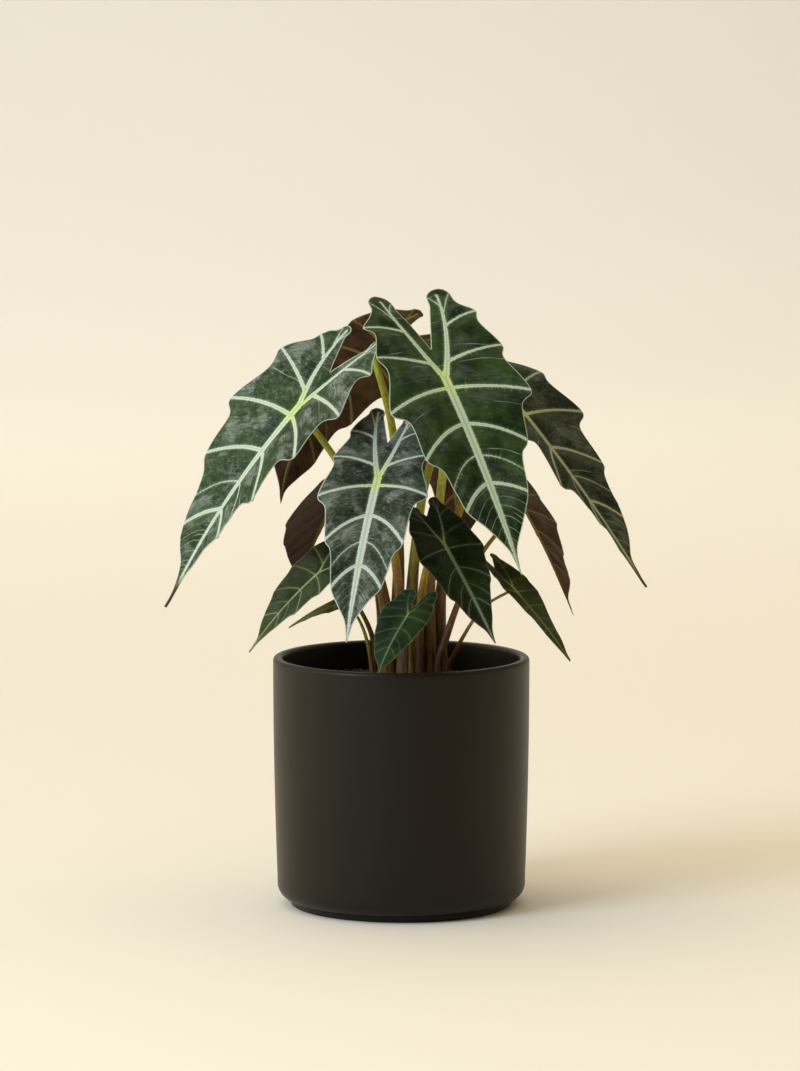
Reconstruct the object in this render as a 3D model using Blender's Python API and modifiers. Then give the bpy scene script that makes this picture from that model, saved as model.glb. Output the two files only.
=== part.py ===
"""Potted alocasia: a matte black cylinder pot, its soil, and thirteen arrow-shaped leaves,
each a blade on its own stalk.

Units are metres with +Z up. The origin is the middle of the pot's underside, on the table.
The viewer stands on the -Y side. The plant is set out from the middle of the soil surface,
in millimetres, so it keeps its place in the pot when the pot's sizes change.
"""
import math

import bmesh
import bpy
import numpy as np

# ------------------------------------------------------------------ driving sizes (metres)
POT_RADIUS = 0.100         # outside, at the rim
POT_HEIGHT = 0.195
POT_WALL = 0.0075
POT_FLOOR = 0.010
LIP_ROUNDING = 0.0030      # radius of the soft edge round the mouth
POT_TAPER = 0.0030         # how much smaller the body's radius is above the lower corner
CORNER_ROUNDING = 0.0120   # height of the rolled lower corner
FOOT_INSET = 0.0108        # the foot ring stands in from the body by this
FOOT_HEIGHT = 0.0050
SOIL_DROP = 0.0200         # soil surface below the rim
SOIL_DISH = 0.0020         # the soil is this much lower at its edge than round the stalks
GAP = 0.0003               # clearance between pieces that touch
PLANT_SIZE = 1.0           # scales the whole plant
BLADE_THICKNESS = 0.0012
STALK_GIRTH = 1.0          # scales the stalks' thickness and how far apart they stand

# ------------------------------------------------------------------ the leaves (mm and degrees)
# junction: where stalk and blade meet, from the middle of the soil surface
# heading:  plan direction of the tip, 0 towards the viewer, 90 to the viewer's right
# dip:      how far the midrib points below level at the junction
# roll:     blade turned about its midrib
# droop:    how much the midrib bends down from the junction to the tip
# nod:      how much the two lobes bend down behind the junction
# vee:      how far each half is folded up from the midrib
# curl:     how far each half bends back down towards its margin
# length:   junction to tip, without the drip tip
# drip:     length of the thread-like drip tip beyond that
# sway:     sideways bend of the midrib at the tip
# sinus:    depth of the notch between the lobes, behind the junction
# left, right: ends of the main veins at the margin, as (across, along), in this order:
#           lobe tip, rear lobe vein, front lobe vein, first, second and third side vein
# base:     where the stalk leaves the soil;  via: points that the stalk passes
# girth:    the stalk's radius at the soil and under the blade
MATURE = ((22, -84), (44, -56), (53, -21), (57, 29), (43, 74), (26, 119))
YOUNG = ((16, -42), (24, -29), (28, -12), (29, 14), (22, 42), (13, 66))


def scaled(form, across, along):
    """The same outline made wider or narrower, and longer or shorter."""
    return tuple((x * across, y * along) for x, y in form)



LEAVES = {
    "01": dict(junction=(34, -85, 244), heading=30, dip=44, roll=-8, droop=14, nod=12,
               vee=12, curl=6, length=166, drip=11, sway=2, sinus=32,
               left=((20, -93), (47, -60), (52, -23), (58, 28), (47, 75), (27, 120)),
               right=((28, -90), (48, -58), (55, -21), (59, 29), (42, 69), (26, 113)),
               base=(21, 1), via=((22, 0, 80), (32, -14, 165)), girth=(5.2, 2.6)),
    "02": dict(junction=(-80, -30, 218), heading=-80, dip=44, roll=25, droop=22, nod=12,
               vee=12, curl=6, length=166, drip=20, sway=-13, sinus=37,
               left=((22, -72), (41, -54), (57, -25), (70, 29), (50, 73), (34, 127)),
               right=((13, -80), (51, -54), (58, -15), (53, 31), (34, 76), (24, 115)),
               base=(-9, -4), via=((-14, -8, 70), (-42, -22, 160)), girth=(5.4, 2.6)),
    "03": dict(junction=(-18, -100, 170), heading=-13, dip=38, roll=-2, droop=16, nod=8,
               vee=14, curl=8, length=146, drip=8, sway=0, sinus=41,
               left=((15, -80), (31, -52), (38, -19), (42, 24), (29, 67), (18, 108)),
               right=((13, -74), (29, -50), (36, -20), (45, 25), (33, 70), (21, 109)),
               base=(2, -11), via=((0, -16, 60), (-9, -50, 128)), girth=(5.0, 2.3)),
    "04": dict(junction=(92, 10, 215), heading=65, dip=47, roll=-6, droop=8, nod=18,
               vee=10, curl=-4, length=158, drip=16, sway=2, sinus=34,
               left=((22, -80), (43, -52), (51, -20), (56, 28), (38, 70), (26, 113)),
               right=((20, -70), (33, -44), (49, -18), (61, 25), (41, 70), (26, 116)),
               base=(30, 9), via=((32, 9, 80), (52, 10, 150)), girth=(5.2, 2.4)),
    "05": dict(junction=(-22, 60, 254), heading=-134, dip=25, roll=-33, droop=95, nod=15,
               vee=9, curl=10, length=155, drip=5, sway=0, sinus=28,
               left=scaled(MATURE, 0.85, 0.93),
               right=((18, -79), (36, -52), (38, -20), (39, 27), (34, 68), (21, 110)),
               base=(-6, 8), via=((-4, 12, 95), (-7, 32, 188)), girth=(4.8, 2.3)),
    "06": dict(junction=(-48, 40, 150), heading=-150, dip=40, roll=30, droop=15, nod=10,
               vee=11, curl=6, length=118, drip=10, sway=0, sinus=24,
               left=scaled(YOUNG, 1.1, 1.1), right=scaled(YOUNG, 1.85, 1.2),
               base=(-15, 7), via=((-17, 12, 60), (-30, 26, 115)), girth=(3.8, 1.9)),
    "07": dict(junction=(-64, -20, 89), heading=-80, dip=38, roll=18, droop=18, nod=8,
               vee=10, curl=6, length=76, drip=7, sway=-4, sinus=15,
               left=scaled(YOUNG, 1.1, 0.83), right=scaled(YOUNG, 1.1, 0.83),
               base=(-18, 1), via=((-24, -2, 40), (-42, -10, 72)), girth=(2.5, 1.4)),
    "08": dict(junction=(-47, 10, 61), heading=-115, dip=17, roll=22, droop=16, nod=6,
               vee=8, curl=6, length=48, drip=5, sway=0, sinus=9,
               left=scaled(YOUNG, 0.43, 0.5), right=scaled(YOUNG, 0.43, 0.5),
               base=(-22, -7), via=((-26, -4, 30), (-34, 2, 50)), girth=(2.0, 1.1)),
    "09": dict(junction=(5, -55, 61), heading=-38, dip=50, roll=0, droop=10, nod=8,
               vee=10, curl=4, length=52, drip=4, sway=5, sinus=9,
               left=((10, -20), (19, -11), (22, -4), (23, 6), (18, 22), (10, 38)),
               right=((11, -19), (20, -10), (24, -3), (24, 8), (20, 25), (10, 40)),
               base=(8, -21), via=((8, -24, 25), (7, -36, 48)), girth=(2.6, 1.5)),
    "10": dict(junction=(33, -75, 117), heading=38, dip=45, roll=-18, droop=10, nod=12,
               vee=12, curl=4, length=86, drip=6, sway=0, sinus=30,
               left=((6, -41), (15, -32), (22, -18), (27, 10), (20, 46), (11, 66)),
               right=((12, -44), (19, -30), (24, -12), (27, 12), (20, 40), (10, 63)),
               base=(12, -5), via=((14, -10, 50), (20, -36, 96)), girth=(5.0, 2.1)),
    "11": dict(junction=(88, -10, 75), heading=46, dip=39, roll=5, droop=6, nod=6,
               vee=8, curl=5, length=74, drip=3, sway=-3, sinus=24,
               left=((3, -36), (7, -28), (11, -14), (14, 0), (11, 26), (6, 48)),
               right=((13, -40), (19, -28), (23, -10), (22, 5), (17, 20), (9, 45)),
               base=(34, -10), via=((40, -14, 22), (62, -14, 58)), girth=(1.9, 1.1)),
    "12": dict(junction=(96, 40, 136), heading=126, dip=55, roll=-14, droop=10, nod=10,
               vee=18, curl=6, length=98, drip=9, sway=0, sinus=22,
               left=scaled(YOUNG, 1.1, 1.04), right=scaled(YOUNG, 1.1, 1.04),
               base=(29, -5), via=((33, -6, 30), (58, 6, 92)), girth=(3.2, 1.5)),
    "13": dict(junction=(34, 50, 195), heading=165, dip=45, roll=0, droop=35, nod=10,
               vee=10, curl=6, length=118, drip=10, sway=0, sinus=26,
               left=scaled(MATURE, 0.6, 0.75), right=scaled(MATURE, 0.6, 0.75),
               base=(7, 7), via=((9, 12, 80), (18, 24, 150)), girth=(4.8, 2.3)),
}
SIDE_VEINS = (0.05, 0.26, 0.59)     # where the three side veins leave the midrib, of its length
# For each blade: how far the margin dips in between two veins, how round the left and right
# lobes are as a share of the half's width, and the half-width near the tip on each side, mm.
MARGIN = {
    "01": (0.110, (0.190, 0.175), (4, 4)), "02": (0.140, (0.080, 0.120), (10, 4)),
    "03": (0.095, (0.150, 0.150), (4, 4)), "04": (0.170, (0.130, 0.130), (4, 4)),
    "05": (0.090, (0.140, 0.140), (4, 4)), "06": (0.020, (0.140, 0.140), (4, 4)),
    "07": (0.040, (0.150, 0.150), (3, 4)), "08": (0.030, (0.160, 0.160), (2, 2)),
    "09": (0.015, (0.240, 0.240), (2, 2)), "10": (0.030, (0.170, 0.170), (3, 3)),
    "11": (0.030, (0.170, 0.170), (2, 2)), "12": (0.090, (0.140, 0.140), (2, 3)),
    "13": (0.080, (0.140, 0.140), (3, 3)),
}
HOOK = 0.34                         # where the margin dips, from one vein end to the next
MM = 0.001

# ------------------------------------------------------------------ sizes that follow
SOIL_LEVEL = POT_HEIGHT - SOIL_DROP
BORE = POT_RADIUS - POT_WALL                  # inside radius, straight all the way down
BODY_RADIUS = POT_RADIUS - POT_TAPER
FOOT_RADIUS = BODY_RADIUS - FOOT_INSET


# ------------------------------------------------------------------ shared helpers
def fresh_collection(name):
    """A new collection in the scene."""
    group = bpy.data.collections.new(name)
    bpy.context.scene.collection.children.link(group)
    return group


def material(name, colour, roughness):
    """A plain Principled material."""
    mat = bpy.data.materials.new(name)
    mat.use_nodes = True
    shader = mat.node_tree.nodes["Principled BSDF"]
    shader.inputs["Base Color"].default_value = (*colour, 1.0)
    shader.inputs["Roughness"].default_value = roughness
    shader.inputs["Metallic"].default_value = 0.0
    return mat


def add_object(name, data, mat, group):
    """One named object with one material."""
    data.materials.append(mat)
    item = bpy.data.objects.new(name, data)
    group.objects.link(item)
    return item


def turned(name, profile, mat, group, steps=48):
    """A solid of revolution: (radius, height) pairs, running down the outer side."""
    mesh = bpy.data.meshes.new(name)
    mesh.from_pydata([(r, 0.0, z) for r, z in profile],
                     [(i, i + 1) for i in range(len(profile) - 1)], [])
    item = add_object(name, mesh, mat, group)
    screw = item.modifiers.new("Turn", 'SCREW')
    screw.axis = 'Z'
    screw.steps = screw.render_steps = steps
    screw.use_merge_vertices = True
    screw.merge_threshold = 0.0001
    screw.use_smooth_shade = True
    return item


def rounded(centre_r, centre_z, radius_r, radius_z, start, end, count):
    """Points round part of an ellipse, angles in degrees from the outward direction."""
    angles = np.radians(np.linspace(start, end, count))
    return [(centre_r + radius_r * math.cos(a), centre_z + radius_z * math.sin(a))
            for a in angles]


def smooth_path(points, count):
    """Evenly spaced points along a smooth curve through the given ones (Catmull-Rom)."""
    pts = np.array(points, float)
    pts = np.vstack([2 * pts[0] - pts[1], pts, 2 * pts[-1] - pts[-2]])
    fine = []
    for a, b, c, d in zip(pts[:-3], pts[1:-2], pts[2:-1], pts[3:]):
        t = np.linspace(0, 1, 24, endpoint=False)[:, None]
        fine.append(0.5 * (2 * b + (c - a) * t + (2 * a - 5 * b + 4 * c - d) * t ** 2
                           + (3 * b - a - 3 * c + d) * t ** 3))
    fine = np.vstack(fine + [pts[-2][None]])
    run = np.concatenate([[0], np.cumsum(np.linalg.norm(np.diff(fine, axis=0), axis=1))])
    where = np.linspace(0, run[-1], count)
    return np.stack([np.interp(where, run, fine[:, k]) for k in range(fine.shape[1])], -1)


# ------------------------------------------------------------------ the blades' shape
def blade_axes(leaf):
    """Unit vectors across, along and out of the upper face of the blade, at the junction."""
    heading, dip, roll = (math.radians(leaf[k]) for k in ("heading", "dip", "roll"))
    level = np.array([math.sin(heading), -math.cos(heading), 0.0])
    up = np.array([0.0, 0.0, 1.0])
    along = level * math.cos(dip) - up * math.sin(dip)
    face = level * math.sin(dip) + up * math.cos(dip)
    across = np.cross(along, face)
    return (across * math.cos(roll) + face * math.sin(roll), along,
            face * math.cos(roll) - across * math.sin(roll))


def arc_run(turn, length, run):
    """Forward and downward travel after `run` of a strip that turns by `turn` over `length`."""
    half = np.radians(turn) * run / length / 2
    chord = run * np.sinc(half / np.pi)
    return chord * np.cos(half), chord * np.sin(half)


def blade_points(leaf, x, y):
    """Flat blade coordinates (across, along) in mm, bent and set in place; metres."""
    length = leaf["length"]
    width = max(end[0] for end in leaf["left"] + leaf["right"])
    x = x + leaf["sway"] * np.sin(np.pi / 2 * y / length)
    front, fall = arc_run(leaf["droop"], length, np.maximum(y, 0))
    rear, rear_fall = arc_run(leaf["nod"], length / 2, np.maximum(-y, 0))
    bend = np.radians(np.where(y >= 0, leaf["droop"] * y / length,
                               2 * leaf["nod"] * y / length))
    out, down = arc_run(leaf["curl"], width, np.abs(x))
    vee = math.radians(leaf["vee"])
    side = out * math.cos(vee) + down * math.sin(vee)
    lift = out * math.sin(vee) - down * math.cos(vee)
    across, along, face = blade_axes(leaf)
    local = ((np.sign(x) * side)[..., None] * across
             + (front - rear + lift * np.sin(bend))[..., None] * along
             + (lift * np.cos(bend) - fall - rear_fall)[..., None] * face)
    return (np.array(leaf["junction"]) + local) * MM * PLANT_SIZE + (0, 0, SOIL_LEVEL)


def blade_stations(number, leaf, side):
    """Pairs of points on the margin and on the inner edge, from the drip tip to the lobe tip.

    The inner edge is the midrib as far as the notch between the lobes, then the lobe's
    own inner margin. The rows of faces then run along the veins. The last three pairs go
    round the lobe's tip, the inner point mirroring the outer one.
    """
    which = 0 if side > 0 else 1
    ends = leaf["left"] if side > 0 else leaf["right"]
    scallop, roundness, fullness = (MARGIN[number][0], MARGIN[number][1][which],
                                    MARGIN[number][2][which])
    lobe, rear, fore, first, second, third = (np.array(end, float) for end in ends)
    length, notch = leaf["length"], np.array([0.0, -leaf["sinus"]])
    axis = lobe - (notch * 0.5 + rear * 0.35 + fore * 0.15)
    axis /= np.linalg.norm(axis)
    beside = np.array([-axis[1], axis[0]])
    beside *= np.sign(beside @ (rear - notch))
    radius = roundness * max(end[0] for end in ends)
    hub = lobe - axis * radius * 0.95
    midrib = [np.array([0.0, length * share]) for share in SIDE_VEINS]
    tip = np.array([0.0, length])
    pairs = [((0.7, length + leaf["drip"]), (0.0, length + leaf["drip"])),
             ((1.4, length + 0.15 * leaf["drip"]), tip + (0.0, 0.1 * leaf["drip"]))]
    last = (np.array([fullness, length * 0.93]), tip * 0.9)
    pairs.append(last)
    shoulder = hub - axis * 0.35 * radius
    corners = [(third, midrib[2]), (second, midrib[1]), (first, midrib[0]), (fore, notch),
               (rear, notch * 0.5 + (hub - beside * radius) * 0.5 + beside * 0.4),
               (shoulder + beside * radius, shoulder - beside * radius)]
    for margin, inner in corners:
        count = len(pairs)
        lead = HOOK if count in (5, 7, 9, 11) else 0.5
        between = last[0] * lead + margin * (1 - lead), (last[1] + inner) / 2
        pull = scallop if 4 < count < 12 else 0.4 * scallop if count > 11 else -0.03
        pairs.append((between[0] + (between[1] - between[0]) * pull, between[1]))
        pairs.append((margin, inner))
        last = (margin, inner)
    for turn in (60, 32, 8):
        a = math.radians(turn)
        out, forward = beside * radius * math.sin(a), axis * radius * 1.25 * math.cos(a)
        pairs.append((hub + out + forward, hub - out + forward))
    pairs = np.array([[p[0], p[1]] for p in pairs], float)
    pairs[..., 0] = np.maximum(pairs[..., 0], 0.0) * side
    return pairs


def blade(number, leaf, mat, group, columns=3):
    """One leaf blade: two halves joined along the midrib, thickened downwards."""
    bm = bmesh.new()
    for side in (1, -1):
        pairs = blade_stations(number, leaf, side)
        t = np.linspace(0, 1, columns + 1)[None, :, None]
        flat = pairs[:, 1][:, None] * (1 - t) + pairs[:, 0][:, None] * t
        place = blade_points(leaf, flat[..., 0], flat[..., 1])
        grid = [[bm.verts.new(p) for p in row] for row in place]
        for near, far in zip(grid[:-1], grid[1:]):
            for k in range(columns):
                face = [near[k], near[k + 1], far[k + 1], far[k]]
                bm.faces.new(face if side < 0 else face[::-1])
    bmesh.ops.remove_doubles(bm, verts=bm.verts, dist=0.00002)
    mesh = bpy.data.meshes.new("leaf_blade_" + number)
    bm.to_mesh(mesh)
    bm.free()
    item = add_object("leaf_blade_" + number, mesh, mat, group)
    shell = item.modifiers.new("Thickness", 'SOLIDIFY')
    shell.thickness = BLADE_THICKNESS
    shell.offset = -1.0
    return item


def stalk(number, leaf, mat, group, rings=12):
    """One leaf stalk, thick where it leaves the soil, up to the underside of its blade."""
    low, high = (r * MM * PLANT_SIZE * STALK_GIRTH for r in leaf["girth"])
    scale = MM * PLANT_SIZE
    foot = np.array([*leaf["base"], 0.0]) * scale * STALK_GIRTH
    via = [np.array(p, float) * scale for p in leaf["via"]]
    face = blade_axes(leaf)[2]
    head = np.array(leaf["junction"]) * scale
    lean = head - via[-1]
    tilt = math.sqrt(max(0.0, 1 - (lean @ face / np.linalg.norm(lean)) ** 2))
    head = head - face * (BLADE_THICKNESS + GAP + high * tilt)
    start = foot + (0, 0, GAP)
    path = smooth_path([start, start + (0, 0, 0.004), *via, head], rings)
    path[1, :2] = path[0, :2]
    curve = bpy.data.curves.new("leaf_stalk_" + number, 'CURVE')
    curve.dimensions = '3D'
    curve.bevel_depth = 1.0
    curve.bevel_resolution = 2
    curve.use_fill_caps = True
    line = curve.splines.new('POLY')
    line.points.add(rings - 1)
    for k, (point, p) in enumerate(zip(line.points, path + (0, 0, SOIL_LEVEL))):
        point.co = (*p, 1.0)
        point.radius = high + (low - high) * (1 - k / (rings - 1)) ** 3
    return add_object("leaf_stalk_" + number, curve, mat, group)


# ------------------------------------------------------------------ build
for item in list(bpy.data.objects):
    bpy.data.objects.remove(item, do_unlink=True)

parts = fresh_collection("potted_alocasia")
black_glaze = material("matte_black_ceramic", (0.022, 0.021, 0.019), 0.55)
compost = material("potting_soil", (0.045, 0.028, 0.018), 0.95)
blade_green = material("leaf_green", (0.035, 0.085, 0.035), 0.45)
blade_back = material("leaf_bronze", (0.085, 0.045, 0.030), 0.50)
stalk_green = material("stalk_green_brown", (0.25, 0.20, 0.08), 0.50)

# The pot: a slip-cast cylinder with a soft lip, a rolled lower corner and a low foot.
lip = LIP_ROUNDING
pot_profile = [(0.0, POT_FLOOR), (BORE - 0.006, POT_FLOOR), (BORE, POT_FLOOR + 0.006)]
pot_profile += rounded(BORE + lip, POT_HEIGHT - lip, lip, lip, 180, 90, 4)
pot_profile += rounded(POT_RADIUS - lip, POT_HEIGHT - lip, lip, lip, 90, 0, 4)
pot_profile += rounded(BODY_RADIUS - FOOT_INSET, FOOT_HEIGHT + CORNER_ROUNDING,
                       FOOT_INSET, CORNER_ROUNDING, 0, -80, 6)
pot_profile += [(FOOT_RADIUS, FOOT_HEIGHT + 0.0004), (FOOT_RADIUS, 0.0008),
                (FOOT_RADIUS - 0.0008, 0.0), (0.0, 0.0)]
turned("pot", pot_profile, black_glaze, parts)

# The soil fills the pot up to its level, highest round the stalks.
edge = BORE - GAP
turned("soil", [(0.0, SOIL_LEVEL), (edge * 0.62, SOIL_LEVEL), (edge, SOIL_LEVEL - SOIL_DISH),
                (edge, POT_FLOOR + 0.006 + GAP), (edge - 0.006, POT_FLOOR + GAP),
                (0.0, POT_FLOOR + GAP)], compost, parts, steps=48)

# The leaves. Leaves 05, 06, 12 and 13 face away from the viewer.
for number, leaf in LEAVES.items():
    back = number in ("05", "06", "12", "13")
    blade(number, leaf, blade_back if back else blade_green, parts)
    stalk(number, leaf, stalk_green, parts)
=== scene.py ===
"""Potted alocasia: finished surfaces over the solid frame, in the frame's own metres."""
import math

import bpy
import numpy as np
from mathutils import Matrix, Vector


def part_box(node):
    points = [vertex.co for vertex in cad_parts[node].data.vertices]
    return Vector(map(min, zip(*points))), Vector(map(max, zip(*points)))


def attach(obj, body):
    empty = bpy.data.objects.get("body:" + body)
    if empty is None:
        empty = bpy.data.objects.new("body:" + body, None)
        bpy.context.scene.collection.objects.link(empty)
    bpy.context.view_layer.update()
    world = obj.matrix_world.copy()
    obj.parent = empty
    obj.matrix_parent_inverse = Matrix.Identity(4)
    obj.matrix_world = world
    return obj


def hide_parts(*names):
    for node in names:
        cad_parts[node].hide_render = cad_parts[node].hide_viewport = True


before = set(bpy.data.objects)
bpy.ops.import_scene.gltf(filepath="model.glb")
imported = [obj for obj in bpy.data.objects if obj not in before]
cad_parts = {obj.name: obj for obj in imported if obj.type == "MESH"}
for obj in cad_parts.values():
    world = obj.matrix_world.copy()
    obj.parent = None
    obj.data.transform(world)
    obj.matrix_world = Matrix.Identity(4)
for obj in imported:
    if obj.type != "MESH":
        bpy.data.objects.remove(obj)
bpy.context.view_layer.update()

# ------------------------------------------------------------------------------ the pot
# Slip-cast clay with a matte black glaze, turned in one piece: a straight wall with a soft
# lip, a rolled lower corner, and a low foot ring that stands in from the wall and leaves a
# dark shadow line under the body.
pot_low, pot_high = (np.array(corner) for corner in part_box("pot"))
soil_low, soil_high = (np.array(corner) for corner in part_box("soil"))
rim_radius = (pot_high[0] - pot_low[0]) / 2
pot_height = pot_high[2] - pot_low[2]
wall, taper, foot_inset = 0.0075, 0.0030, 0.0108
bore_radius, body_radius = rim_radius - wall, rim_radius - taper
foot_radius = body_radius - foot_inset
foot_height, corner_height, foot_edge, foot_seam = 0.0050, 0.0120, 0.0012, 0.0006
pot_floor, inner_corner, lip = 0.0100, 0.0060, 0.0030
wall_top, wall_drop = pot_height - 0.006, pot_height - 0.028


def mesh_piece(name, points, faces):
    """A smooth-shaded object at the origin, its points and its faces given as arrays."""
    mesh = bpy.data.meshes.new(name)
    faces = np.asarray(faces, np.int32)
    mesh.vertices.add(len(points))
    mesh.vertices.foreach_set("co", np.asarray(points, np.float32).ravel())
    mesh.loops.add(faces.size)
    mesh.loops.foreach_set("vertex_index", faces.ravel())
    mesh.polygons.add(len(faces))
    mesh.polygons.foreach_set("loop_start",
                              np.arange(0, faces.size, faces.shape[1], dtype=np.int32))
    mesh.update(calc_edges=True)
    mesh.polygons.foreach_set("use_smooth", np.ones(len(faces), bool))
    item = bpy.data.objects.new(name, mesh)
    bpy.context.scene.collection.objects.link(item)
    return item


def grid_faces(index):
    """Four-sided faces over an array of point numbers, one between each four neighbours."""
    return np.stack([index[..., :-1, :-1], index[..., 1:, :-1], index[..., 1:, 1:],
                     index[..., :-1, 1:]], -1).reshape(-1, 4)


def triangles(quads):
    """Each four-sided face cut along one diagonal."""
    return np.concatenate([quads[:, [0, 1, 2]], quads[:, [0, 2, 3]]])


def wrapped(index):
    """Point numbers with the first of each ring repeated at its end, which closes it."""
    return np.concatenate([index, index[..., :1]], -1)


def fan(centre, near, far):
    """Triangles from one centre point to each pair of near and far points."""
    return np.stack([np.full(len(near), centre), near, far], -1)


def capped(rings, *ends):
    """Points and triangles of rings joined in order, with a fan to a point at either end."""
    count, around = rings.shape[:2]
    index = wrapped(np.arange(count * around).reshape(count, around))
    first, last, top = index[0], index[-1], count * around
    return np.concatenate([rings.reshape(-1, 3), ends]), np.concatenate([
        triangles(grid_faces(index)), fan(top, first[:-1], first[1:]),
        fan(top + 1, last[1:], last[:-1])])


def turned_surface(profile, around):
    """Profile points (r, z) swept round +Z: ring k is (r cos a, r sin a, z) for angles a.

    The first and last profile points lie on the axis and become one point each; a profile
    that runs down its outer side gives faces that point outwards.
    """
    r, z = np.asarray(profile[1:-1], float).T
    angle = np.linspace(0, 2 * np.pi, around, endpoint=False)
    rings = np.stack([r[:, None] * np.cos(angle), r[:, None] * np.sin(angle),
                      np.broadcast_to(z[:, None], (len(r), around))], -1)
    return capped(rings, (0, 0, profile[0][1]), (0, 0, profile[-1][1]))


def rounded(centre_r, centre_z, radius_r, radius_z, start, end, count):
    """Points round part of an ellipse, angles in degrees from the outward direction."""
    a = np.radians(np.linspace(start, end, count))
    return list(zip(centre_r + radius_r * np.cos(a), centre_z + radius_z * np.sin(a)))


pot_profile = [(0.0, pot_floor), (0.03, pot_floor), (bore_radius - inner_corner, pot_floor)]
pot_profile += rounded(bore_radius - inner_corner, pot_floor + inner_corner, inner_corner,
                       inner_corner, -75, 0, 6)
pot_profile += [(bore_radius, z) for z in np.linspace(0.03, pot_height - 0.01, 12)]
pot_profile += rounded(bore_radius + lip, pot_height - lip, lip, lip, 180, 90, 9)
pot_profile += rounded(rim_radius - lip, pot_height - lip, lip, lip, 90, 0, 9)
pot_profile += [(rim_radius + (body_radius - rim_radius) * s * s, wall_top - wall_drop * s)
                for s in np.linspace(0, 1, 20)]
pot_profile += rounded(foot_radius, foot_height + corner_height, foot_inset, corner_height,
                       0, -80, 14)
pot_profile += [(foot_radius + foot_seam, foot_height + foot_seam / 2),
                (foot_radius, foot_height - foot_seam), (foot_radius, 2 * foot_edge)]
pot_profile += rounded(foot_radius - foot_edge, foot_edge, foot_edge, foot_edge, 0, -90, 6)
pot_profile += [(0.05, 0.0), (0.02, 0.0), (0.0, 0.0)]
pot = mesh_piece("glazed_pot", *turned_surface(pot_profile, 224))


class Field:
    """One output of a node; each sum, product, step, noise or ramp of it adds a node."""

    def __init__(self, tree, socket):
        self.tree, self.socket = tree, socket

    def maths(self, operation, other=None, clamp=False):
        inputs = {0: self} if other is None else {0: self, 1: other}
        return node(self.tree, "Math", inputs, operation=operation, use_clamp=clamp)

    def __add__(self, other):
        return self.maths("ADD", other)

    def __sub__(self, other):
        return self.maths("SUBTRACT", other)

    def __mul__(self, other):
        return self.maths("MULTIPLY", other)

    def step(self, low, high, to_low=0.0, to_high=1.0, curve="SMOOTHSTEP"):
        """Goes from to_low to to_high as this value goes from low to high."""
        return node(self.tree, "MapRange", {0: self, 1: low, 2: high, 3: to_low, 4: to_high},
                    interpolation_type=curve)

    def noise(self, scale, detail=3.0, roughness=0.5, distortion=0.0):
        """A Noise Texture's value over these coordinates."""
        return node(self.tree, "TexNoise", {
            "Vector": self, "Scale": scale, "Detail": detail, "Roughness": roughness,
            "Distortion": distortion}, "Fac")

    def ramp(self, *stops):
        """A colour ramp over stops of (position, value or colour)."""
        made = node(self.tree, "ValToRGB", {"Fac": self})
        band = made.socket.node.color_ramp
        band.interpolation = "EASE"
        while len(band.elements) < len(stops):
            band.elements.new(0.5)
        for element, (position, value) in zip(band.elements, stops):
            element.position = position
            element.color = (*(value if isinstance(value, tuple) else (value,) * 3), 1.0)
        return made

    def parts(self):
        """Every output of the node that this one comes from."""
        return [Field(self.tree, socket) for socket in self.socket.node.outputs]

    def xyz(self):
        """The three numbers of this vector."""
        return node(self.tree, "SeparateXYZ", {0: self}).parts()


def feed(tree, made, inputs):
    """Links or sets a node's inputs by name or number; colours are given without alpha."""
    for key, value in inputs.items():
        socket = made.inputs[key]
        if isinstance(value, Field):
            tree.links.new(value.socket, socket)
        else:
            socket.default_value = (*value, 1.0) if socket.type == "RGBA" else value


def node(tree, kind, inputs=None, output=0, **settings):
    """Adds a node with its settings and inputs, and gives one of its outputs."""
    made = tree.nodes.new("ShaderNode" + kind)
    for key, value in settings.items():
        setattr(made, key, value)
    feed(tree, made, inputs or {})
    return Field(tree, made.outputs[output])


def mixed(factor, first, second, blend="MIX"):
    """Two colours mixed by a factor, each a Field or a plain value."""
    tree = next(v.tree for v in (factor, first, second) if isinstance(v, Field))
    return node(tree, "Mix", {0: factor, 6: first, 7: second}, 2, data_type="RGBA",
                blend_type=blend)


def bump(height, strength, distance):
    """The surface's normal, tilted by a height."""
    return node(height.tree, "Bump", {"Height": height, "Strength": strength,
                                      "Distance": distance})


def new_material(name):
    """An empty material with one Principled shader: (material, node tree, shader)."""
    mat = bpy.data.materials.new(name)
    mat.use_nodes = True
    return mat, mat.node_tree, mat.node_tree.nodes["Principled BSDF"]


# Matte glaze: nearly black, faintly warm, with a very fine tooth and slow clouding, under a
# thin coat that keeps the highlights.
glaze, tree, shader = new_material("matte_black_glaze")
where = node(tree, "TexCoord", output="Object")
slow, tooth, pits = where.noise(9.0), where.noise(1500.0, 2.0), where.noise(420.0, 3.0, 0.6)
colour = mixed(slow, (0.0024, 0.0019, 0.0006), (0.0044, 0.0036, 0.0016))
colour = mixed(pits.ramp((0.62, 0.0), (0.80, 0.30)), colour, (0.016, 0.014, 0.009))
warm_sheen = (1.0, 0.94, 0.84)
feed(tree, shader, {
    "Base Color": colour, "Roughness": slow * 0.10 + 0.48, "IOR": 1.35,
    "Normal": bump(tooth + pits * 1.4, 0.22, 0.00025), "Specular Tint": warm_sheen,
    "Coat Weight": 0.25, "Coat Roughness": 0.24, "Coat IOR": 1.30, "Coat Tint": warm_sheen})
pot.data.materials.append(glaze)
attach(pot, "root")
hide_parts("pot")

# ------------------------------------------------------------------------------ the soil
# Potting soil, filled to two centimetres under the rim: damp dark crumbs of peat and bark,
# heaped a little round the stalks, with loose clods lying on top.
soil_level = soil_high[2]
soil_radius = (soil_high[0] - soil_low[0]) / 2
chance = np.random.default_rng(11)


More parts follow.
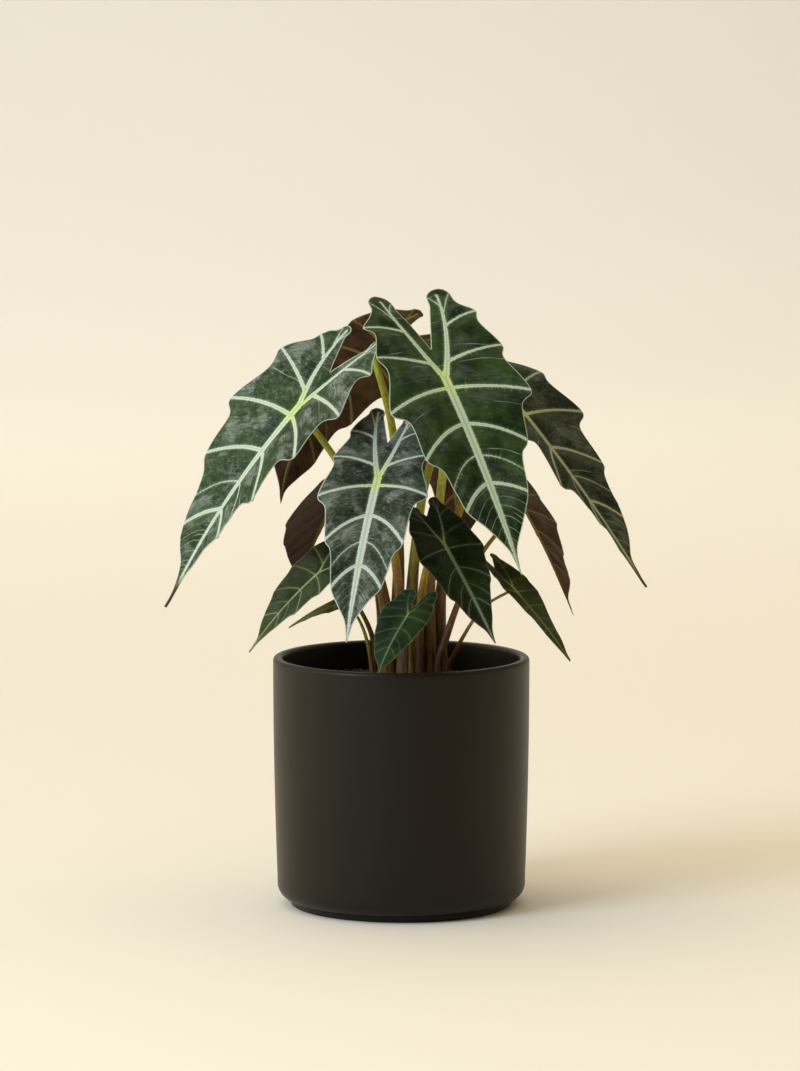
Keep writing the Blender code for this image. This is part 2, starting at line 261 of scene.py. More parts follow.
def crumb_relief(x, y, size, seed):
    """Height 0..1 of round crumbs packed one to each jittered square cell of a plane.

    A cell's middle, radius and height come from sines of its own numbers; a point takes
    the tallest dome, sqrt(1 - (distance / radius)^2), of its cell and the eight round it.
    """
    cx, cy = np.floor(x / size), np.floor(y / size)
    tallest = np.zeros_like(x)
    for dx in (-1, 0, 1):
        for dy in (-1, 0, 1):
            u, v = cx + dx, cy + dy
            a = np.modf(np.abs(np.sin(u * 12.9898 + v * 78.233 + seed) * 43758.5453))[0]
            b = np.modf(a * 91.7 + 0.37)[0]
            c = np.modf(b * 57.3 + 0.71)[0]
            gap = np.hypot(x / size - u - 0.2 - 0.6 * a, y / size - v - 0.2 - 0.6 * b)
            reach = 0.45 + 0.5 * c
            dome = np.sqrt(np.maximum(0, 1 - (gap / reach) ** 2)) * (0.45 + 0.55 * a)
            tallest = np.maximum(tallest, dome)
    return tallest


def soil_surface(rings, around):
    """A disc of rings with crumbs of three sizes on it.

    Height is the bed under the crumbs, 5.5 mm below the level and lower towards the edge,
    plus a heap round the stalks and crumb domes 11, 5.2 and 2.5 mm apart, which are a third
    lower at the rim. Nothing stands more than 3.5 mm over the level.
    """
    bed_drop, dish, highest = 0.0055, 0.002, 0.0035
    share = np.linspace(0.002, 1, rings)[:, None] ** 0.8
    angle = np.linspace(0, 2 * np.pi, around, endpoint=False)[None]
    x, y = share * soil_radius * np.cos(angle), share * soil_radius * np.sin(angle)
    domes = (4.2 * crumb_relief(x, y, 0.0110, 3.0) + 2.4 * crumb_relief(x, y, 0.0052, 8.0)
             + 1.3 * crumb_relief(x, y, 0.0025, 5.0)) * 0.001
    heap = 0.003 * np.exp(-(np.hypot(x, y) / 0.040) ** 2)
    z = soil_level - bed_drop - dish * share ** 3 + heap + domes * (1 - 0.35 * share ** 30)
    z = np.minimum(z, soil_level + highest)
    return np.stack([x, y, z], -1)


def closed_disc(grid, bottom):
    """A polar grid closed by a middle point, a straight wall and a flat base."""
    wall = grid[-1:].copy()
    wall[..., 2] = bottom
    return capped(np.concatenate([grid, wall]), (0, 0, grid[0, :, 2].mean()), (0, 0, bottom))


def scattered_clods(count):
    """Loose clods: small balls, squashed, turned and roughened one by one.

    A ball's point is its place plus a turned (a cos u sin v, b sin u sin v, c cos v), each
    radius wobbling by a sine of the two angles.
    """
    tiers, sides, cap = 6, 8, 0.25
    u = np.linspace(0, 2 * np.pi, sides, endpoint=False)[None, None, :]
    v = np.linspace(cap, np.pi - cap, tiers)[None, :, None]
    spread = np.sqrt(chance.uniform(0.0, 1, count)) * (soil_radius - 0.005)
    around = chance.uniform(0, 2 * np.pi, count)
    size, share, flat, phase = (chance.uniform(*ends, (count, 1, 1)) for ends in (
        (0.0008, 0.0030), (0.5, 1), (0.5, 0.9), (0, 6.3)))
    size = size * share
    wobble = 1 + 0.22 * np.sin(3 * u + phase) * np.sin(2 * v + phase)
    wobble = wobble + 0.12 * np.sin(5 * u - phase)
    x = size * wobble * np.cos(u) * np.sin(v) * (1.0 + 0.8 * flat)
    y = size * wobble * np.sin(u) * np.sin(v)
    z = size * wobble * np.cos(v) * flat
    turn = chance.uniform(0, 2 * np.pi, (count, 1, 1))
    x, y = x * np.cos(turn) - y * np.sin(turn), x * np.sin(turn) + y * np.cos(turn)
    px, py = spread * np.cos(around), spread * np.sin(around)
    base = soil_level - 0.0020 + 0.0010 * np.sin(px * 400) * np.sin(py * 370)
    grid = np.stack([x + px[:, None, None], y + py[:, None, None],
                     z + base[:, None, None]], -1)
    points = grid.reshape(-1, 3)
    index = wrapped(np.arange(len(points)).reshape(count, tiers, sides))
    caps = np.concatenate([
        np.stack([index[:, tier, k] for k in corners], -1)
        for tier, way in ((0, 1), (-1, -1)) for j in range(1, sides - 1)
        for corners in [(0, *(j, j + 1)[::way])]])
    return points, np.concatenate([triangles(grid_faces(index)), caps])


bed, bed_faces = closed_disc(soil_surface(150, 420), soil_low[2])
clods, clod_faces = scattered_clods(520)
soil = mesh_piece("potting_soil", np.concatenate([bed, clods]),
                  np.concatenate([bed_faces, clod_faces + len(bed)]))

# Damp peat, almost black, with paler dry flecks and reddish bark.
peat, tree, shader = new_material("damp_peat")
where = node(tree, "TexCoord", output="Object")
crumbs, patch = where.noise(260.0, 4.0, 0.65), where.noise(45.0)
fibre = where.noise(900.0, 3.0, 0.6)
colour = crumbs.ramp((0.30, (0.006, 0.004, 0.0025)), (0.55, (0.020, 0.0125, 0.0075)),
                     (0.78, (0.055, 0.034, 0.020)))
colour = mixed(patch.ramp((0.45, 0.0), (0.75, 0.5)), colour, (0.046, 0.026, 0.014))
colour = mixed(fibre.ramp((0.66, 0.0), (0.74, 0.6)), colour, (0.11, 0.075, 0.045))
feed(tree, shader, {
    "Base Color": colour, "Roughness": patch.ramp((0.3, 0.70), (0.7, 0.95)),
    "Normal": bump(crumbs + fibre, 0.8, 0.0008)})
soil.data.materials.append(peat)
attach(soil, "root")
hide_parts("soil")

# ------------------------------------------------------------------------------ the stalks
# Thirteen leaf stalks rise from one clump. Each is a fleshy stem, sheathed and mauve-brown
# where it leaves the soil and yellow-green under its blade, with fine ribs along it.
# The plant is set out in millimetres from the middle of the soil surface. Each leaf has its
# junction; heading, dip and roll; droop, nod, vee, curl and sway, which bend the blade;
# length, drip tip and sinus; the left and right outline, from lobe to tip; and the base,
# via points and girth of its stalk.
mature = ((22, -84), (44, -56), (53, -21), (57, 29), (43, 74), (26, 119))
young = ((16, -42), (24, -29), (28, -12), (29, 14), (22, 42), (13, 66))


def scaled(form, across, along):
    """The same outline made wider or narrower, and longer or shorter."""
    return tuple((x * across, y * along) for x, y in form)


leaf_rows = {
    "01": ((34, -85, 244), (30, 44, -8), (14, 12, 12, 6, 2), (166, 11, 32),
           ((20, -93), (47, -60), (52, -23), (58, 28), (47, 75), (27, 120)),
           ((28, -90), (48, -58), (55, -21), (59, 29), (42, 69), (26, 113)),
           ((21, 1), ((22, 0, 80), (32, -14, 165)), (5.2, 2.6))),
    "02": ((-80, -30, 218), (-80, 44, 25), (22, 12, 12, 6, -13), (166, 19.7, 37),
           ((22, -72), (41, -54), (57, -25), (70, 29), (50, 73), (34, 127)),
           ((13, -80), (51, -54), (58, -15), (53, 31), (34, 76), (24, 115)),
           ((-9, -4), ((-14, -8, 70), (-42, -22, 160)), (5.4, 2.6))),
    "03": ((-18, -100, 170), (-13, 38, -2), (16, 8, 14, 8, 0), (146, 8, 41),
           ((15, -80), (31, -52), (38, -19), (42, 24), (29, 67), (18, 108)),
           ((13, -74), (29, -50), (36, -20), (45, 25), (33, 70), (21, 109)),
           ((2, -11), ((0, -16, 60), (-9, -50, 128)), (5.0, 2.3))),
    "04": ((92, 10, 215), (65, 47, -6), (8, 18, 10, -4, 2), (158, 16, 34),
           ((22, -80), (43, -52), (51, -20), (48, 30), (24, 74), (14, 115)),
           ((20, -70), (33, -44), (49, -18), (61, 25), (41, 70), (26, 116)),
           ((30, 9), ((32, 9, 80), (52, 10, 150)), (5.2, 2.4))),
    "05": ((-22, 60, 254), (-134, 25, -33), (95, 15, 9, 10, 0), (155, 5, 28),
           scaled(mature, 0.85, 0.93),
           ((18, -79), (36, -52), (38, -20), (39, 27), (34, 68), (21, 110)),
           ((-5, 8), ((-2, 12, 95), (-6, 32, 188)), (5.4, 2.8))),
    "06": ((-48, 40, 150), (-150, 40, 30), (15, 10, 11, 6, 0), (118, 10, 24),
           scaled(young, 1.1, 1.1), scaled(young, 1.85, 1.2),
           ((-15, 7), ((-17, 12, 60), (-30, 26, 115)), (3.8, 1.9))),
    "07": ((-64, -20, 89), (-80, 38, 18), (18, 8, 10, 6, -4), (76, 7, 15),
           scaled(young, 1.1, 0.83), scaled(young, 1.1, 0.83),
           ((-18, 1), ((-24, -2, 40), (-42, -10, 72)), (2.5, 1.4))),
    "08": ((-47, 10, 61), (-115, 17, 22), (16, 6, 8, 6, 0), (48, 5, 9),
           scaled(young, 0.43, 0.5), scaled(young, 0.43, 0.5),
           ((-22, -7), ((-26, -4, 30), (-34, 2, 50)), (2.0, 1.1))),
    "09": ((5, -55, 61), (-38, 50, 0), (10, 8, 10, 4, 5), (52, 4, 6),
           ((11, -20), (22, -8), (24, -1), (23, 8), (18, 22), (10, 38)),
           ((11, -19), (22, -7), (25, 0), (25, 9), (20, 25), (10, 40)),
           ((8, -21), ((8, -24, 25), (7, -36, 48)), (2.6, 1.5))),
    "10": ((33, -75, 117), (38, 45, -18), (10, 12, 12, 4, 0), (86, 6, 30),
           ((6, -41), (15, -32), (22, -18), (27, 10), (20, 46), (11, 66)),
           ((12, -44), (19, -30), (24, -12), (27, 12), (20, 40), (10, 63)),
           ((12, -5), ((14, -10, 50), (20, -36, 96)), (5.0, 2.1))),
    "11": ((88, -10, 75), (46, 39, 5), (6, 6, 8, 5, -3), (74, 3, 24),
           ((3, -36), (7, -28), (11, -14), (14, 0), (11, 26), (6, 48)),
           ((13, -40), (19, -28), (23, -10), (22, 5), (17, 20), (9, 45)),
           ((34, -10), ((40, -14, 22), (62, -14, 58)), (1.9, 1.1))),
    "12": ((96, 40, 136), (126, 55, -14), (10, 10, 18, 6, 0), (98, 9, 22),
           scaled(young, 1.1, 1.04), scaled(young, 1.1, 1.04),
           ((29, -5), ((33, -6, 30), (58, 6, 92)), (3.2, 1.5))),
    "13": ((34, 50, 195), (165, 45, 0), (35, 10, 10, 6, 0), (118, 10, 26),
           scaled(mature, 0.6, 0.75), scaled(mature, 0.6, 0.75),
           ((7, 7), ((9, 12, 80), (18, 24, 150)), (5.6, 3.0))),
}
leaf_names = ("junction", "heading", "dip", "roll", "droop", "nod", "vee", "curl", "sway",
              "length", "drip", "sinus", "left", "right", "base", "via", "girth")
leaves = {number: dict(zip(leaf_names, (spot, *turn, *bend, *size, left, right, *stalk)))
          for number, (spot, turn, bend, size, left, right, stalk) in leaf_rows.items()}


def blade_axes(leaf):
    """Unit vectors across, along and out of the upper face of the blade, at the junction."""
    heading, dip, roll = (math.radians(leaf[k]) for k in ("heading", "dip", "roll"))
    level = np.array([math.sin(heading), -math.cos(heading), 0.0])
    up = np.array([0.0, 0.0, 1.0])
    along = level * math.cos(dip) - up * math.sin(dip)
    face = level * math.sin(dip) + up * math.cos(dip)
    across = np.cross(along, face)
    return (across * math.cos(roll) + face * math.sin(roll), along,
            face * math.cos(roll) - across * math.sin(roll))


def smooth_line(points, fine=24):
    """Catmull-Rom curve: each span is the cubic through its ends whose slopes are half the
    step between its neighbours. Gives `fine` points a span, and the last point."""
    pts = np.asarray(points, float)
    pts = np.concatenate([2 * pts[:1] - pts[1:2], pts, 2 * pts[-1:] - pts[-2:-1]])
    t = np.linspace(0, 1, fine, endpoint=False)[None, :, None]
    a, b, c, d = (pts[k:len(pts) - 3 + k, None] for k in range(4))
    spans = 0.5 * (2 * b + (c - a) * t + (2 * a - 5 * b + 4 * c - d) * t ** 2
                   + (3 * b - a - 3 * c + d) * t ** 3)
    return np.concatenate([spans.reshape(-1, pts.shape[1]), pts[-2:-1]])


def sampled(line, run, at):
    """A line's points at the places `at`, where `run` is the place of each point it has."""
    return np.stack([np.interp(at, run, values) for values in line.T], -1)


def stalk_surface(leaf, rings=120, around=40):
    """The stalk's rings, from the soil to just inside the blade's underside.

    Centre: the smooth line through base, via points and junction. Radius at share k of its
    length: high + (1.25 low - high)(1 - k)^1.9, swollen at the very foot and under the blade.
    Outline of a ring: 1 + a shallow channel on the side that faces the tip + fine ribs,
    and, over the lowest third, the overlapping edge of the sheath that wraps the stem.
    """
    low, high = leaf["girth"]
    face = blade_axes(leaf)[2]
    foot = np.array([*leaf["base"], 0.0])
    head = np.array(leaf["junction"]) - face * (0.9 + 0.35 * high)
    rooted, upright = foot - (0, 0, 6), foot + (0, 0, 4)
    line = smooth_line([rooted, upright, *leaf["via"], head])
    run = np.concatenate([[0], np.cumsum(np.linalg.norm(np.diff(line, axis=0), axis=1))])
    line = sampled(line, run, np.linspace(0, run[-1], rings))
    line[line[:, 2] < upright[2], :2] = foot[:2]
    k = np.linspace(0, 1, rings)[:, None]
    tangent = np.gradient(line, axis=0)
    tangent /= np.linalg.norm(tangent, axis=1, keepdims=True)
    heading = math.radians(leaf["heading"])
    outward = np.array([math.sin(heading), -math.cos(heading), 0.02])
    first = outward - tangent * (tangent @ outward)[:, None]
    first /= np.linalg.norm(first, axis=1, keepdims=True)
    second = np.cross(tangent, first)
    a = np.linspace(0, 2 * np.pi, around, endpoint=False)[None]
    radius = high + (1.25 * low - high) * (1 - k) ** 1.9
    radius *= 1 + 0.16 * np.exp(-(k / 0.035) ** 2) + 0.22 * np.exp(-((1 - k) / 0.02) ** 2)
    sheath = np.clip(1 - k / 0.36, 0, 1) ** 0.6
    spiral = np.mod(a - 1.1 - 1.4 * k, 2 * np.pi) / (2 * np.pi)
    outline = (1 - 0.09 * np.exp(-((a - np.pi) / 0.55) ** 2) + 0.018 * np.cos(11 * a + 3 * k)
               + sheath * (0.20 * spiral ** 3 - 0.02))
    r = (radius * outline)[..., None]
    return line[:, None] + r * (np.cos(a)[..., None] * first[:, None]
                                + np.sin(a)[..., None] * second[:, None])


def store(item, name, values):
    """Keeps one vector of three numbers a point on the piece, for its material to read."""
    held = item.data.attributes.new(name, "FLOAT_VECTOR", "POINT")
    held.data.foreach_set("vector", np.asarray(values, np.float32).ravel())


def stored(tree, name):
    """What `store` kept under that name, inside a material."""
    return node(tree, "Attribute", output="Vector", attribute_name=name)


def looks_group(name, vectors, colours, numbers):
    """A node group with inputs of the given names, and Color, Roughness and Height for its
    outputs: the group, its inputs as Fields by name, and the node its outputs go to."""
    group = bpy.data.node_groups.new(name, "ShaderNodeTree")
    sockets = [("INPUT", kind, title) for kind, titles in (
        ("Vector", vectors), ("Color", colours), ("Float", numbers)) for title in titles]
    sockets += [("OUTPUT", "Color", "Color"), ("OUTPUT", "Float", "Roughness"),
                ("OUTPUT", "Float", "Height")]
    for way, kind, title in sockets:
        group.interface.new_socket(title, in_out=way, socket_type="NodeSocket" + kind)
    given = {socket.name: Field(group, socket)
             for socket in group.nodes.new("NodeGroupInput").outputs}
    return group, given, group.nodes.new("NodeGroupOutput")


def fleshy_stem():
    """Node group: a stem's colour, roughness and height from its height over the soil.

    Colour goes from Foot through Middle to Top as Run rises; fine streaks run lengthwise,
    and small darker flecks are stretched along the stem.
    """
    group, given, out = looks_group("fleshy_stem", (), ("Foot", "Middle", "Top"),
                                    ("Run", "Flecks"))
    where = node(group, "TexCoord", output="Object")
    streak, blotch = (
        node(group, "Mapping", {"Vector": where, "Scale": (1.0, 1.0, stretch)}).noise(
            scale, 2.0, roughness)
        for stretch, scale, roughness in ((0.08, 900.0, 0.55), (0.35, 420.0, 0.5)))
    patch = where.noise(45.0, 2.0)
    run = given["Run"] + (patch - 0.5) * 0.25
    base = mixed(run.step(0.10, 0.55), given["Foot"], given["Middle"])
    base = mixed(run.step(0.34, 0.66), base, given["Top"])
    dark = mixed(1.0, base, (0.55, 0.42, 0.40), "MULTIPLY")
    light = mixed(1.0, base, (1.45, 1.40, 1.30), "MULTIPLY")
    tone = mixed(0.55, base, mixed(streak.step(0.35, 0.68, curve="LINEAR"), dark, light))
    fleck = blotch.step(0.60, 0.68, curve="LINEAR")
    feed(group, out, {
        "Color": mixed(fleck * given["Flecks"], tone, dark),
        "Roughness": patch * 0.18 + 0.30, "Height": streak + fleck * -0.3})
    return group


stem_group = fleshy_stem()
stem_tones = {
    "green": ((0.180, 0.090, 0.026), (0.270, 0.190, 0.035), (0.460, 0.520, 0.065), 0.30),
    "brown": ((0.160, 0.092, 0.042), (0.255, 0.132, 0.040), (0.380, 0.280, 0.035), 0.50),
    "dark": ((0.150, 0.095, 0.024), (0.175, 0.125, 0.022), (0.230, 0.210, 0.030), 0.55),
}
stem_of = {"01": "green", "02": "green", "05": "green", "13": "green", "08": "green",
           "07": "dark", "09": "dark", "11": "brown"}
stems = {}
for tone, (foot_colour, middle_colour, top_colour, flecks) in stem_tones.items():
    stems[tone], tree, shader = new_material("stalk_" + tone)
    run = stored(tree, "stem").xyz()[0]
    colour, roughness, height = node(tree, "Group", {
        "Run": run, "Foot": foot_colour, "Middle": middle_colour, "Top": top_colour,
        "Flecks": flecks}, node_tree=stem_group).parts()
    feed(tree, shader, {
        "Base Color": colour, "Roughness": roughness, "Normal": bump(height, 0.35, 0.0004),
        "Specular IOR Level": 0.25, "Subsurface Weight": 0.06,
        "Subsurface Radius": (0.004, 0.003, 0.001)})

for number, leaf in leaves.items():
    rings = stalk_surface(leaf) * 0.001 + (0, 0, soil_level)
    points, faces = capped(rings, rings[0].mean(0), rings[-1].mean(0))
    stalk = mesh_piece("stalk_" + number, points, faces[:, ::-1])
    run = np.repeat(np.linspace(0, 1, len(rings)), rings.shape[1])
    store(stalk, "stem", np.concatenate([run, (0, 1)])[:, None] * (1, 0, 0))
    stalk.data.materials.append(stems[stem_of.get(number, "brown")])
    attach(stalk, "root")
    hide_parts("leaf_stalk_" + number)

# ------------------------------------------------------------------------------ the blades
# Each blade is a thin leathery arrowhead: a strong midrib, two veins back into the lobes,
# and side veins that end at the points of the wavy margin. The upper side is dark green
# with pale veins and a silver bloom, which is painted sheen over faint silvery scratches of
# its own; the underside is bronze, and its veins stand proud.
side_veins = (0.05, 0.26, 0.59)
notch_station = 10
# For each blade: how far the margin is drawn in behind a vein's end, the roundness of the
# left and right lobe, the fullness of either side of its tip, the widths of its midrib and
# side veins, and how strongly its panels swell between the veins.
growth_names = ("scallop", "roundness", "fullness", "rib", "side", "swell")
growth = {
    "01": (0.110, (0.190, 0.175), (4, 4), 1.08, 1.00, 1.7),
    "02": (0.140, (0.080, 0.120), (10, 4), 1.12, 1.12, 1.9),
    "03": (0.095, (0.150, 0.150), (4, 4), 1.05, 1.00, 1.9),
    "04": (0.170, (0.130, 0.130), (4, 4), 0.66, 0.80, 1.8),
    "05": (0.090, (0.140, 0.140), (4, 4), 0.85, 0.70, 1.0),
    "06": (0.020, (0.140, 0.140), (4, 4), 0.80, 0.45, 0.3),
    "07": (0.040, (0.150, 0.150), (3, 4), 0.72, 0.38, 0.8),
    "08": (0.030, (0.160, 0.160), (2, 2), 0.60, 0.30, 0.5),
    "09": (0.015, (0.350, 0.340), (2, 2), 0.46, 0.015, 0.20),
    "10": (0.030, (0.170, 0.170), (3, 3), 0.64, 0.16, 0.5),
    "11": (0.030, (0.170, 0.170), (2, 2), 0.60, 0.40, 0.5),
    "12": (0.090, (0.140, 0.140), (2, 3), 0.80, 0.55, 0.9),
    "13": (0.080, (0.140, 0.140), (3, 3), 0.90, 0.80, 1.0),
}


def arc_run(turn, length, run):
    """Forward and downward travel after `run` of a strip that turns by `turn` over `length`:
    the chord, run * sin(h) / h for h half the angle so far, at the slope h."""
    half = np.radians(turn) * run / length / 2
    chord = run * np.sinc(half / np.pi)
    return chord * np.cos(half), chord * np.sin(half)


def bent(leaf, x, y):
    """Flat blade coordinates (across, along) in mm to their place over the soil in mm.

    The strip bends down along the midrib by droop (nod behind the junction); each half is
    folded up by vee and curls back by curl; the fold is rounded over 3 mm at the midrib.
    """
    length, fold = leaf["length"], 3
    width = max(end[0] for end in leaf["left"] + leaf["right"])
    x = x + leaf["sway"] * np.sin(np.pi / 2 * y / length)
    front, fall = arc_run(leaf["droop"], length, np.maximum(y, 0))
    rear, rear_fall = arc_run(leaf["nod"], length / 2, np.maximum(-y, 0))
    bend = np.radians(np.where(y >= 0, leaf["droop"] * y / length,
                               2 * leaf["nod"] * y / length))
    out, down = arc_run(leaf["curl"], width, np.abs(x))
    vee = math.radians(leaf["vee"])
    side = np.sign(x) * (out * math.cos(vee) + down * math.sin(vee))
    lift = (np.sqrt(out ** 2 + fold ** 2) - fold) * math.sin(vee) - down * math.cos(vee)
    across, along, face = blade_axes(leaf)
    return (np.array(leaf["junction"]) + side[..., None] * across
            + (front - rear + lift * np.sin(bend))[..., None] * along
            + (lift * np.cos(bend) - fall - rear_fall)[..., None] * face)


def facing(leaf, x, y, step=0.4):
    """Unit normal of the bent blade: the cross product of its slopes across and along."""
    u = bent(leaf, x + step, y) - bent(leaf, x - step, y)
    v = bent(leaf, x, y + step) - bent(leaf, x, y - step)
    normal = np.cross(u, v)
    return normal / np.linalg.norm(normal, axis=-1, keepdims=True)


def outline_stations(leaf, side):
    """Margin points and the inner points facing them, from the drip tip to the lobe tip.

    Even stations from 4 to 12 are vein ends; the odd ones are drawn in by the scallop, a
    third of the way to the next vein end towards the tip, so the margin hooks in behind
    each vein. Station 10 faces the notch between the lobes. The last four go round the
    lobe's tip on an ellipse a quarter longer than wide, mirrored by the inner points.
    """
    ends, which = leaf[side], ("left", "right").index(side)
    scallop, roundness, fullness = leaf["scallop"], leaf["roundness"], leaf["fullness"]
    roundness, fullness = roundness[which], fullness[which]
    lobe, rear, fore, first, second, third = (np.array(end, float) for end in ends)
    length, notch = leaf["length"], np.array([0.0, -leaf["sinus"]])
    width = max(end[0] for end in ends)
    axis = lobe - (notch * 0.5 + rear * 0.35 + fore * 0.15)
    axis /= np.linalg.norm(axis)
    beside = np.array([-axis[1], axis[0]])
    beside *= np.sign(beside @ (rear - notch))
    radius, set_in, set_back, drawn_out = roundness * width, 0.95, 0.35, 1.25
    hub = lobe - axis * radius * set_in
    rib = [np.array([0.0, length * share]) for share in side_veins]
    tip = np.array([0.0, length])
    pairs = [((0.5, length + leaf["drip"]), (0.0, length + leaf["drip"])),
             ((1.3, length + 0.2 * leaf["drip"]), tip + (0.0, 0.15 * leaf["drip"]))]
    last = (np.array([fullness, length * 0.93]), tip * 0.9)
    pairs.append(last)
    inner_rear = notch * 0.50 + (hub - beside * radius) * 0.50 + beside * 0.4
    shoulder = tuple(hub + beside * way * radius - axis * set_back * radius
                     for way in (1, -1))
    corners = [(third, rib[2]), (second, rib[1]), (first, rib[0]), (fore, notch),
               (rear, inner_rear), shoulder]
    for margin, inner in corners:
        tipward, rearward = len(pairs) < 5, len(pairs) > 11
        lead, pull = ((0.5, -0.03) if tipward else (0.5, 0.4 * scallop) if rearward
                      else (0.34, scallop))
        between = last[0] * lead + margin * (1 - lead), last[1] * 0.45 + inner * 0.55
        pairs.append((between[0] + (between[1] - between[0]) * pull, between[1]))
        pairs.append((margin, inner))
        last = (margin, inner)
    for turn in (64, 38, 16, 5):
        a = math.radians(turn)
        forward = axis * radius * math.cos(a) * drawn_out
        pairs.append(tuple(hub + beside * way * radius * math.sin(a) ** 0.9 + forward
                           for way in (1, -1)))
    return np.array(pairs, float)


def half_blade(pairs, counts, columns):
    """Flat coordinates of one half, rows from the drip tip to the lobe tip, and its stations.

    The margin and the lobe's inner edge are smooth lines through the stations; the midrib
    part of the inner edge is straight. A row bows back from its chord by 4t(1 - t) times
    a share of its rise, so that the rows run the way the side veins do; its points stand
    closer together towards the margin, t = u (1 + crowding (1 - u)).
    """
    fine, bowing, crowding = 40, 0.16, 0.22
    margin = smooth_line(pairs[:, 0], fine)
    lobe = smooth_line(pairs[notch_station:, 1], fine)
    rib = sampled(pairs[:, 1], np.arange(len(pairs)), np.arange(notch_station * fine) / fine)
    inner = np.concatenate([rib, lobe])
    station = np.concatenate([np.arange(c) / c + k for k, c in enumerate(counts)]
                             + [[len(counts)]])
    margin, inner = (sampled(line, np.arange(len(line)), station * fine)
                     for line in (margin, inner))
    u = np.linspace(0, 1, columns + 1)
    t = (u * (1 + crowding - crowding * u))[None, :, None]
    flat = inner[:, None] * (1 - t) + margin[:, None] * t
    rise = (margin[:, 1] - inner[:, 1])[:, None]
    bow = bowing * rise * 4 * t[..., 0] * (1 - t[..., 0])
    flat[..., 1] -= bow * np.clip((12 - station[:, None]) / 3, 0, 1)
    return flat, station, margin, inner, np.broadcast_to(t[..., 0], flat.shape[:2])


def vein_line(points, fine=14):
    """A vein's course: the quadratic curve a(1-t)^2 + 2bt(1-t) + ct^2 through three points."""
    a, b, c = (np.asarray(p, float)[None] for p in points)
    t = np.linspace(0, 1, fine)[:, None]
    return a * (1 - t) ** 2 + 2 * b * t * (1 - t) + c * t ** 2


def from_line(flat, line):
    """Signed distance from a line, and how far along it the nearest point lies, as a share
    of its run and as a length."""
    start, step = line[:-1], np.diff(line, axis=0)
    size = np.maximum(np.linalg.norm(step, axis=1), 1e-9)
    gap = flat[..., None, :] - start
    share = np.clip((gap * step).sum(-1) / size ** 2, 0, 1)
    gap = gap - share[..., None] * step
    far = np.linalg.norm(gap, axis=-1)
    best = np.argmin(far, -1)[..., None]
    run = np.concatenate([[0], np.cumsum(size)])
    along = run[:-1] + share * size
    turn = step[:, 0] * gap[..., 1] - step[:, 1] * gap[..., 0]
    far, along, turn = (np.take_along_axis(values, best, -1)[..., 0]
                        for values in (far, along, turn))
    return far * np.where(turn < 0, -1, 1), along / run[-1], along


def half_veins(leaf, ends, pairs):
    """The veins of one half: (line, half-width at its start, half-width at its end)."""
    lobe, rear, fore, first, second, third = (np.array(end, float) for end in ends)
    length = leaf["length"]
    k = (length / 166) ** 0.85
    rib, side = leaf["rib"] * k, leaf["side"] * k
    lobe_end = lobe * 0.965
    lobe_vein = vein_line([(0, 0), (lobe[0] * 0.70 + 2 * k, lobe[1] * 0.52), lobe_end], 24)
    veins = [(lobe_vein, 2.4 * rib, 0.7 * side)]
    for end, share in ((third, 2), (second, 1), (first, 0)):
        start = np.array([0.0, length * side_veins[share]])
        rise = end[1] - start[1]
        middle = (start + end) / 2 - (0, 0.32 * rise)
        veins.append((vein_line([start, middle, end]), 1.60 * side, side))
    for end, share, wide in ((fore, 0.19, 1.6), (rear, 0.60, 1.15)):
        start = lobe_vein[int(share * 23)]
        middle = start * 0.5 + end * 0.5 + (lobe_vein[int(share * 23) + 1] - start) * 1.2
        veins.append((vein_line([start, middle, end]), wide * side, 0.75 * side))
    between = (second * 0.42 + third * 0.58) * (0.90, 1.0)
    start = np.array([0.0, length * 0.44])
    middle = (start + between) / 2 - (0, 0.42 * (between[1] - start[1]))
    veins.append((vein_line([start, middle, between]), 0.55 * side, 0.15 * side))
    for end, at in zip(pairs[-4], (16, 19)):
        fork = lobe_vein[at]
        veins.append((vein_line([fork, fork * 0.35 + end * 0.65 + (lobe - fork) * 0.15, end]),
                      0.50 * side, 0.2 * side))
    return veins, k


